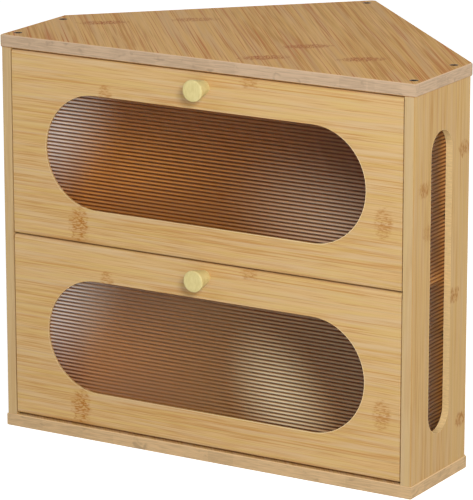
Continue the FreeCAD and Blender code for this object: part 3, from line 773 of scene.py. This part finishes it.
def knit(name: str, grids: np.ndarray) -> bpy.types.Object:
    """Joins grids of points into one closed mesh with its faces outwards.

    A grid is a row of stations, each a closed ring of points. Neighbouring stations are joined by quads,
    the first and last are closed by a face unless they are a single point, and equal points are merged.

    Args:
        name: the piece's name.
        grids: array of the shape (count, stations, points of a ring, 3) in millimetres.

    Returns:
        The piece, at the origin.
    """
    here = np.arange(grids.size // 3).reshape(grids.shape[:3])
    beside = np.roll(here, -1, axis=2)
    quads = np.stack([here[:, :-1], beside[:, :-1], beside[:, 1:], here[:, 1:]], axis=-1)
    faces = quads.reshape(-1, 4).tolist() + here[:, 0, ::-1].tolist() + here[:, -1].tolist()
    mesh = bpy.data.meshes.new(name)
    mesh.from_pydata(at(grids.reshape(-1, 3)).tolist(), [], faces)
    work = bmesh.new()
    work.from_mesh(mesh)
    bmesh.ops.remove_doubles(work, verts=work.verts, dist=1e-6)
    bmesh.ops.dissolve_degenerate(work, edges=work.edges, dist=1e-7)
    bmesh.ops.recalc_face_normals(work, faces=work.faces)
    work.to_mesh(mesh)
    work.free()
    mesh.polygons.foreach_set("use_smooth", np.ones(len(mesh.polygons), bool))
    mesh.set_sharp_from_angle(angle=math.radians(CREASE))
    return link(name, mesh)


def turned(outline: np.ndarray, centre: Triple, axis: Triple, steps: int) -> np.ndarray:
    """Turns an outline round an axis.

    Radius r at height h becomes centre + h axis + r (cos t side + sin t up), where side and up are square
    to the axis and to each other.

    Args:
        outline: array of (height along the axis, radius) in millimetres.
        centre: point of the axis at height zero.
        axis: unit vector.
        steps: points round a ring.

    Returns:
        A grid of the shape (points of the outline, steps, 3).
    """
    forward = np.array(axis, float)
    side = np.cross(forward, ACROSS_Z if abs(forward[2]) < 0.9 else ACROSS_X)
    side /= np.linalg.norm(side)
    up = np.cross(side, forward)
    turn = np.linspace(0.0, 2 * math.pi, steps, endpoint=False)
    ring = np.cos(turn)[:, None] * side + np.sin(turn)[:, None] * up
    return np.array(centre) + outline[:, :1, None] * forward + outline[:, 1:, None] * ring


def arc(centre: tuple[float, float], radius: float, start: float, end: float, steps: int) -> np.ndarray:
    """Points of an arc: centre + radius (cos t, sin t), from one angle in degrees to another."""
    turn = np.radians(np.linspace(start, end, steps))
    return np.column_stack([centre[0] + radius * np.cos(turn), centre[1] + radius * np.sin(turn)])


def dress(piece: bpy.types.Object, finish: bpy.types.Material) -> None:
    """Puts one material in every slot of a piece."""
    if not piece.material_slots:
        piece.data.materials.append(finish)
    for holder in piece.material_slots:
        holder.material = finish


def dress_nodes(finish: bpy.types.Material, *nodes: str) -> None:
    """Puts one material on CAD nodes."""
    for node in nodes:
        dress(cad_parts[node], finish)
        log.info("%s: %s", node, finish.name)


def stand_in(
    piece: bpy.types.Object, finish: bpy.types.Material, body: str, nodes: tuple[str, ...] = ()
) -> None:
    """Dresses a new piece, lets it ride on a body and hides the CAD nodes that it stands for.

    Args:
        piece: the new piece.
        finish: its material.
        body: the body that it moves with.
        nodes: the CAD nodes that it replaces.
    """
    dress(piece, finish)
    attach(piece, body)
    if nodes:
        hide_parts(*nodes)
    log.info("%s: %d faces on %s", piece.name, len(piece.data.polygons), body)


class Drive(Enum):
    """A screw's head: how far its top falls from the middle to the rim, as a share of the head's height."""

    FLAT = 0.0
    PAN = 0.35


@dataclass(frozen=True)
class Screw:
    """A cross-headed screw (mm).

    Attributes:
        drive: the head's form, flat for a countersunk screw and domed for one that stands on the surface.
        head: radius of the head.
        shank: radius of the shank.
        length: from the head's top to the point.
        cap: height of the head.
    """

    drive: Drive
    head: float
    shank: float
    length: float
    cap: float

    def grid(self, top: Triple, inward: Triple, turn: float = 0.0, steps: int = 48) -> np.ndarray:
        """Points of one screw.

        The head's top is a disc of rings. A point sinks by the recess's depth inside the cross and stays
        outside it, where the cross is what lies within half an arm's width of either of two lines.

        Args:
            top: centre of the head's top.
            inward: unit vector from the top to the point.
            turn: angle of the cross in degrees.
            steps: points round a ring.

        Returns:
            A grid of the shape (rings, steps, 3).
        """
        share = np.concatenate([np.linspace(0.0, 0.72, 13), [0.86, 0.95, 1.0]])
        crown = self.cap * self.drive.value * share**2
        neck = [(self.cap, self.head)] if self.drive is Drive.PAN else []
        shank = [(self.cap, self.shank), (self.length - self.shank, self.shank), (self.length, 0.0)]
        outline = np.vstack([np.column_stack([crown, share * self.head]), neck + shank])
        points = turned(outline, top, inward, steps)
        # Shares of the head's radius: half the width of the recess's arms, their length and its depth.
        half_arm, arm, deep = 0.16, 0.62, 0.34
        angle = np.linspace(0.0, 2 * math.pi, steps, endpoint=False) + math.radians(turn)
        reach = (share * self.head)[:, None]
        arms = np.minimum(np.abs(reach * np.cos(angle)), np.abs(reach * np.sin(angle)))
        inside = np.clip((half_arm * self.head - arms) / (0.07 * self.head) + 0.5, 0.0, 1.0)
        ends = np.clip((arm * self.head - reach) / (0.1 * self.head) + 0.5, 0.0, 1.0)
        sink = deep * self.head * inside * ends
        points[: len(share)] += sink[:, :, None] * np.array(inward)
        return points


# ---------------------------------------------------------------- sub-assemblies


@dataclass(frozen=True)
class ReededSheet:
    """A pane with half-round reeds that lie level, one above the other (mm).

    Attributes:
        width: size along the reeds.
        height: size across the reeds.
        middle: height of the pane's middle, on which a reed is centred.
        thick: from the crowns to the flat face.
        depth: depth of the grooves.
        steps: facets over one reed.
    """

    width: float
    height: float
    middle: float
    thick: float = 3.1
    depth: float = 1.1
    steps: int = 12

    def grid(
        self, origin: tuple[float, float], run: tuple[float, float], inward: tuple[float, float]
    ) -> np.ndarray:
        """Points of the pane: at each height, four corners of its section.

        The front lies (1 - sqrt(1 - t^2)) ** 0.8 of a groove's depth in, where t goes from -1 to 1 over a
        reed, so a crown is round and a groove is sharp. The rear is flat.

        Args:
            origin: x and y of the middle of the crowns.
            run: unit vector along the reeds in plan.
            inward: unit vector from the crowns to the flat face in plan.

        Returns:
            A grid of the shape (1, heights, 4, 3).
        """
        half = self.height / 2
        count = int(half // REED_PITCH) + 1
        local = np.sin(np.linspace(-0.5, 0.5, self.steps + 1)[:-1] * math.pi)
        offsets = (np.arange(-count, count + 1)[:, None] + local[None, :] / 2).ravel() * REED_PITCH
        inside = offsets[np.abs(offsets) < half]
        heights = np.concatenate([[-half], inside, [half]])
        beat = 2 * ((heights / REED_PITCH + 0.5) % 1.0) - 1
        front = self.depth * (1 - np.sqrt(np.clip(1 - beat**2, 0.0, 1.0))) ** 0.8
        rear = np.full_like(front, self.thick)
        side = np.array([-1.0, 1.0, 1.0, -1.0]) * self.width / 2
        into = np.column_stack([front, front, rear, rear])
        x = origin[0] + side * run[0] + into * inward[0]
        y = origin[1] + side * run[1] + into * inward[1]
        z = np.repeat((self.middle + heights)[:, None], 4, axis=1)
        return np.stack([x, y, z], axis=-1)[None]


@dataclass
class Knob:
    """A turned knob that flares from the door to a flat face with a rounded rim (mm).

    Attributes:
        x: distance of its axis to the right of the middle.
        root: radius at the door.
        face: radius at the rim.
        reach: how far it stands out.
        rim: radius of the rounding.
        dome: how far the face's middle stands proud of its edge.
    """

    x: float = 2.0
    root: float = 6.7
    face: float = 10.2
    reach: float = 20.0
    rim: float = 1.3
    dome: float = 0.12

    def build(self, name: str, z: float) -> bpy.types.Object:
        """Turns the knob: a straight flare, a quarter-round rim and a face that is very slightly domed.

        Args:
            name: the piece's name.
            z: height of its axis.

        Returns:
            The piece.
        """
        flare_end = self.reach - self.rim - 0.25
        flare = np.column_stack([np.linspace(0.0, flare_end, 9), np.linspace(self.root, self.face, 9)])
        rim = arc((self.reach - self.rim - 0.15, self.face - self.rim), self.rim, 90.0, 4.0, 8)
        across = np.linspace(0.97, 0.0, 8)
        front = np.column_stack([self.reach - self.dome * across**2, (self.face - self.rim) * across])
        outline = np.vstack([[(0.0, 0.0)], flare, rim, front])
        return knit(name, turned(outline, (self.x, 0.0, z), (0.0, -1.0, 0.0), 72)[None])


@dataclass
class Cabinet:
    """The fixed box: boards, panels, shelf, side panes, catches and the screws that hold them (mm).

    Attributes:
        screw_places: x and y of the screws of the top board and of the bottom one.
        sunk: how far a screw's head lies below the board's face.
        pane: form of both side panes.
        crown_x: distance of the panes' crowns from the middle.
        screw_x: distance of the heads of the panes' screws from the middle.
        screw_spread: how far those screws stand from their pane's middle, along y and z.
    """

    screw_places: tuple[tuple[float, float], ...] = (
        (-209.0, 14.5),
        (209.0, 14.5),
        (-209.0, 90.5),
        (209.0, 90.5),
        (0.0, 309.53),
    )
    sunk: float = 0.2
    pane: ReededSheet = ReededSheet(55.4, 296.4, SLOT_Z)
    crown_x: float = 211.6
    screw_x: float = 207.0
    screw_spread: tuple[float, float] = (24.0, 56.0)

    def woods(self) -> None:
        """Dresses every wooden node of the cabinet with the grain in its own direction."""
        slant = math.radians(51.6)
        down_slope = (math.cos(slant), -math.sin(slant), 0.0)
        up_slope = (math.sin(slant), math.cos(slant), 0.0)

        def on_top(x: float, y: float, strength: float = 1.0) -> Knuckle:
            """Places a knuckle by its x and y on the top board."""
            run = x * down_slope[0] + (y + FRONT_MM) * down_slope[1]
            cross = x * up_slope[0] + (y + FRONT_MM) * up_slope[1]
            return Knuckle(run, cross, length=9.0, width=22.0, strength=strength)

        def on_side(y: float, z: float, strength: float = 1.0) -> Knuckle:
            """Places a knuckle by its y and z on a side panel."""
            return Knuckle(z, y + FRONT_MM, strength=strength)

        top = Bamboo(
            "top_board_bamboo",
            down_slope,
            up_slope,
            pale=(226, 179, 112),
            deep=(194, 138, 54),
            streak=(188, 99, 6),
            dry=(214, 170, 116),
            sap=(220, 170, 88),
            threads=0.8,
            strip=38.0,
            coarse=1.8,
            seed=4.0,
            knuckles=(
                on_top(-100, 152, 0.7),
                on_top(-167, 95),
                on_top(55, 95),
                on_top(127, 70),
                on_top(47, 32),
            ),
            trim=Trim.BOARD_RIM,
        )
        bottom = Bamboo(
            "bottom_board_bamboo",
            down_slope,
            up_slope,
            strip=38.0,
            seed=9.0,
            scatter=0.8,
            trim=Trim.BOARD_RIM,
            rim=(207, 175, 132),
        )
        panel = Bamboo(
            "side_panel_bamboo",
            ACROSS_Z,
            ACROSS_Y,
            pale=(206, 170, 115),
            deep=(180, 136, 76),
            streak=(184, 128, 64),
            dry=(204, 172, 128),
            sap=(202, 166, 100),
            strip=17.0,
            streaks=0.35,
            seed=2.0,
            knuckles=(
                on_side(20, 282),
                on_side(96, 305),
                on_side(28, 241, 0.7),
                on_side(80, 172),
                on_side(96, 50),
            ),
            trim=Trim.PANEL_EDGES,
            rim=(240, 206, 148),
            lift=0.09,
            lift_run=ACROSS_Y,
            lift_span=(-145.0, -85.0),
        )
        half = math.sqrt(0.5)
        right_back = Bamboo("right_back_bamboo", (half, -half, 0.0), ACROSS_Z, seed=21.0, scatter=0.8)
        left_back = Bamboo("left_back_bamboo", (half, half, 0.0), ACROSS_Z, seed=23.0, scatter=0.8)
        shelf = Bamboo("shelf_bamboo", ACROSS_X, ACROSS_Y, seed=31.0, scatter=0.8)
        post = Bamboo("post_bamboo", ACROSS_Z, ACROSS_X, seed=37.0)
        block = Bamboo("catch_block_bamboo", ACROSS_X, ACROSS_Z, seed=41.0)
        for finish, nodes in (
            (top, ("top_board",)),
            (bottom, ("bottom_board",)),
            (panel, ("right_side_panel", "left_side_panel")),
            (right_back, ("right_back_panel",)),
            (left_back, ("left_back_panel",)),
            (shelf, ("middle_shelf",)),
            (post, ("rear_post",)),
            (block, ("lower_catch_block", "upper_catch_block")),
        ):
            dress_nodes(finish.make(), *nodes)

    def hardware(self, steel: bpy.types.Material, magnet: bpy.types.Material) -> None:
        """Builds the countersunk screws of both boards and the small screws of the side panes.

        Args:
            steel: finish of the screws.
            magnet: finish of the catch magnets.
        """
        long_screw = Screw(Drive.FLAT, head=4.0, shank=2.0, length=34.0, cap=2.2)
        for name, face, inward in (
            ("top_screws", BOX_HEIGHT - self.sunk, -1.0),
            ("bottom_screws", self.sunk, 1.0),
        ):
            grids = [
                long_screw.grid((x, y, face), (0.0, 0.0, inward), 25.0 * number)
                for number, (x, y) in enumerate(self.screw_places)
            ]
            piece = knit(name + "_cross_head", np.stack(grids))
            stand_in(piece, steel, "cabinet", (name,))
        small = Screw(Drive.PAN, head=3.2, shank=1.2, length=7.0, cap=1.5)
        along, up = self.screw_spread
        for side, sign in (("right", 1.0), ("left", -1.0)):
            grids = [
                small.grid((sign * self.screw_x, SLOT_Y + dy, SLOT_Z + dz), (sign, 0.0, 0.0), 20.0 + dz)
                for dy in (-along, along)
                for dz in (-up, up)
            ]
            stand_in(knit(f"{side}_pane_screws", np.stack(grids)), steel, "cabinet")
        dress_nodes(magnet, "upper_catch_magnet", "lower_catch_magnet")

    def panes(self) -> None:
        """Builds both reeded side panes, crowns outwards, with a warm painted glow towards the rear."""
        warm = (230, 172, 114)
        # Painted glow: a warm band on each side pane.
        painted_glows = (PaintedGlow(-88.0, 110.0, half_along=15.0, half_up=280.0, share=0.44),)
        for side, sign in (("right", 1.0), ("left", -1.0)):
            node = f"{side}_side_pane"
            finish = ReededAcrylic(
                node + "_acrylic", SLOT_Z, ACROSS_Y, painted_glows=painted_glows, low_haze_and_glow=warm, high_haze_and_glow=warm
            )
            grid = self.pane.grid((sign * self.crown_x, SLOT_Y), (0.0, 1.0), (-sign, 0.0))
            stand_in(knit(node + "_reeded", grid), finish.make(), "cabinet", (node,))


@dataclass
class Door:
    """One flap door with its window, pane, beads, knob and pins (mm).

    Attributes:
        tier: upper or lower.
        window_z: height of the window's middle.
        knob_z: height of the knob's axis.
        painted_glows: painted glow on the pane.
        milk: share of haze everywhere on the pane.
        calm: how much fainter the painted shade and glow of the pane's reeds are left of the middle.
        high_haze_and_glow: colour of the pane's haze and painted glow on the right.
        pane_size: size of the pane along its reeds and across them.
        pane_y: how far behind the front plane the pane's crowns are.
        screw_y: the same for the head of the knob's screw.
    """

    tier: str
    window_z: float
    knob_z: float
    painted_glows: tuple[PaintedGlow, ...]
    milk: float = 0.01
    calm: float = 0.0
    high_haze_and_glow: Colour = (240, 222, 206)
    pane_size: tuple[float, float] = (355.4, 124.6)
    pane_y: float = 2.4
    screw_y: float = 12.2

    def board(self) -> Bamboo:
        """Bamboo of the board and beads: level grain, and knuckles placed from the window's middle."""
        return Bamboo(
            f"{self.tier}_door_bamboo",
            ACROSS_X,
            ACROSS_Z,
            pale=(217, 181, 127),
            deep=(195, 150, 91),
            streak=(194, 131, 60),
            origin=self.window_z,
            strip=23.0,
            seed=10.0,
            knuckles=(
                Knuckle(-104.0, 58.0, length=7.0, width=8.0, strength=0.7),
                Knuckle(-134.0, -70.0, length=10.0, width=17.0),
                Knuckle(50.0, 85.0, length=9.0, width=6.0, strength=0.6),
                Knuckle(188.0, -27.0, length=9.0, width=14.0, strength=0.7),
            ),
            trim=Trim.WINDOW_ARRIS_HIGHLIGHT,
            # Painted highlight: this rim colour is the paler colour painted on the window's chamfer.
            rim=(246, 218, 168),
            # Painted light: the door is lighter towards the right.
            lift=0.03,
        )

    def pane(self) -> ReededAcrylic:
        """Acrylic of the door's pane, with its own painted glow."""
        return ReededAcrylic(
            f"{self.tier}_door_pane_acrylic",
            self.window_z,
            painted_glows=self.painted_glows,
            milk=self.milk,
            calm=self.calm,
            high_haze_and_glow=self.high_haze_and_glow,
        )

    def build(self, knob_wood: bpy.types.Material, steel: bpy.types.Material) -> None:
        """Dresses the door's own nodes and builds its pane, knob and knob screw.

        Args:
            knob_wood: finish of the knob.
            steel: finish of the screw and pins.
        """
        tier, body = self.tier, f"{self.tier}_door"
        dress_nodes(self.board().make(), body, f"{tier}_pane_beads")
        dress_nodes(steel, f"{tier}_hinge_pins")
        sheet = ReededSheet(*self.pane_size, self.window_z)
        pane = knit(f"{body}_pane_reeded", sheet.grid((0.0, self.pane_y), (1.0, 0.0), (0.0, 1.0)))
        stand_in(pane, self.pane().make(), body, (f"{body}_pane",))
        turned_knob = Knob()
        piece = turned_knob.build(f"{tier}_turned_knob", self.knob_z)
        stand_in(piece, knob_wood, body, (f"{tier}_knob",))
        screw = Screw(Drive.PAN, head=4.0, shank=1.9, length=24.0, cap=2.2)
        grid = screw.grid((turned_knob.x, self.screw_y, self.knob_z), (0.0, -1.0, 0.0), 35.0)
        piece = knit(f"{tier}_knob_cross_screw", grid[None])
        stand_in(piece, steel, body, (f"{tier}_knob_screw",))


# ---------------------------------------------------------------- studio

# Kinds of ray that see the surroundings as white.
SIGHT = ("Camera", "Glossy", "Transmission")


@dataclass(frozen=True)
class Lamp:
    """A square soft lamp that looks at the box: angles in degrees, distance and size in metres, watts."""

    name: str
    azimuth: float
    elevation: float
    distance: float
    size: float
    power: float


@dataclass
class Studio:
    """Floor, soft light, white surroundings and the camera (metres and degrees).

    Attributes:
        aim: point that the lamps look at.
        lens: focal length in millimetres.
        place: where the camera stands.
        azimuth: its direction, 0 in front and 90 to the right.
        elevation: its angle above the floor.
        roll: its turn about its own axis.
        sky: strength of the even light on the box.
        floor_half: half the floor's side.
        floor_grey: the floor's colour.
        floor_glow: what the floor adds where it is seen, so that it looks white.
        lamps: the soft lamps.
    """

    aim: Triple = (0.0, 0.0, 0.19)
    lens: float = 254.1
    place: Triple = (1.6252, -2.82135, 1.02625)
    azimuth: float = 30.86
    elevation: float = 14.81
    roll: float = -0.05
    sky: float = 0.34
    floor_half: float = 6.0
    floor_grey: Colour = (226, 226, 226)
    floor_glow: float = 0.78
    lamps: tuple[Lamp, ...] = (
        Lamp("key_lamp", azimuth=38.0, elevation=24.0, distance=3.0, size=0.6, power=48.4),
        Lamp("fill_lamp", azimuth=-30.0, elevation=22.0, distance=2.8, size=1.4, power=5.0),
        Lamp("side_lamp", azimuth=80.0, elevation=20.0, distance=2.6, size=0.8, power=8.0),
    )

    @staticmethod
    def back(azimuth: float, elevation: float) -> Vector:
        """Unit vector from the box to a viewer: azimuth 0 stands in front, 90 to the right."""
        a, e = math.radians(azimuth), math.radians(elevation)
        return Vector((math.sin(a) * math.cos(e), -math.cos(a) * math.cos(e), math.sin(e)))

    def light(self) -> None:
        """Places the soft lamps and the even sky, which sight, mirrors and glass see as white."""
        for lamp in self.lamps:
            data = bpy.data.lights.new(lamp.name, "AREA")
            data.shape, data.size, data.energy = "SQUARE", lamp.size, lamp.power
            back = self.back(lamp.azimuth, lamp.elevation)
            holder = link(lamp.name, data)
            holder.location = Vector(self.aim) + back * lamp.distance
            holder.rotation_mode = "QUATERNION"
            holder.rotation_quaternion = back.to_track_quat("Z", "Y")
        bench = Bench(bpy.data.worlds.new("even_sky"))
        strength = bench.rays(*SIGHT) * (1.0 - self.sky) + self.sky
        sky = bench.node("ShaderNodeBackground", {}, {"Color": WHITE, "Strength": strength})
        bpy.context.scene.world = bench.done(sky.outputs[0])

    def floor(self) -> None:
        """Lays a pale floor that looks white to the camera and keeps the box's soft shadow."""
        half = self.floor_half
        corners = [(-half, -half, 0.0), (half, -half, 0.0), (half, half, 0.0), (-half, half, 0.0)]
        mesh = bpy.data.meshes.new("studio_floor")
        mesh.from_pydata(corners, [], [(0, 1, 2, 3)])
        bench = Bench(bpy.data.materials.new("pale_floor"))
        matt = {"Base Color": linear(self.floor_grey), "Roughness": 0.9, "Specular IOR Level": 0.0}
        glow = {"Emission Color": WHITE, "Emission Strength": self.floor_glow}
        shader = bench.mixed(bench.surface(matt), bench.surface(matt | glow), bench.rays(*SIGHT))
        mesh.materials.append(bench.done(shader))
        link("studio_floor", mesh)

    def camera(self) -> None:
        """Makes the camera with its long lens and a very small roll."""
        data = bpy.data.cameras.new("view")
        data.lens, data.sensor_width = self.lens, 36.0
        data.clip_start, data.clip_end = 0.1, 60.0
        holder = link("view", data)
        holder.location = Vector(self.place)
        turn = (-self.back(self.azimuth, self.elevation)).to_track_quat("-Z", "Y")
        holder.rotation_mode = "QUATERNION"
        holder.rotation_quaternion = turn @ Quaternion(ACROSS_Z, math.radians(self.roll))
        bpy.context.scene.camera = holder

    def build(self) -> None:
        """Sets up everything that isn't the box."""
        self.light()
        self.floor()
        self.camera()
        bpy.context.scene.view_settings.view_transform = "Standard"


def main() -> None:
    """Builds the finishes, the cabinet, both doors and the studio, in that order."""
    logging.basicConfig(level=logging.INFO, format="%(name)s %(message)s")
    steel = Metal("screw_steel").make()
    magnet = Metal("magnet_nickel", colour=(176, 176, 178), dull=(150, 150, 154), roughness=0.2).make()
    knob_wood = KnobWood().make()
    cabinet = Cabinet()
    cabinet.woods()
    cabinet.hardware(steel, magnet)
    cabinet.panes()
    doors = (
        Door(
            "upper",
            window_z=278.85,
            knob_z=354.7,
            # Painted glow: pale at the left end of the pane and fainter low on the right.
            painted_glows=(
                PaintedGlow(-185.0, 8.0, half_along=95.0, half_up=92.0, share=0.58, lean=0.5),
                PaintedGlow(132.0, -50.0, half_along=115.0, half_up=92.0, share=0.23, lean=-0.4),
            ),
        ),
        Door(
            "lower",
            window_z=101.55,
            knob_z=177.4,
            # Painted glow: pale at the left end of the pane and a patch low right of the middle.
            painted_glows=(
                PaintedGlow(-185.0, 16.0, half_along=98.0, half_up=100.0, share=0.52, lean=0.5),
                PaintedGlow(82.0, -30.0, half_along=62.0, half_up=78.0, share=0.46, lean=-0.32),
            ),
            milk=0.08,
            calm=0.6,
            high_haze_and_glow=(236, 224, 194),
        ),
    )
    for door in doors:
        door.build(knob_wood, steel)
    Studio().build()


if __name__ == "__main__":
    main()
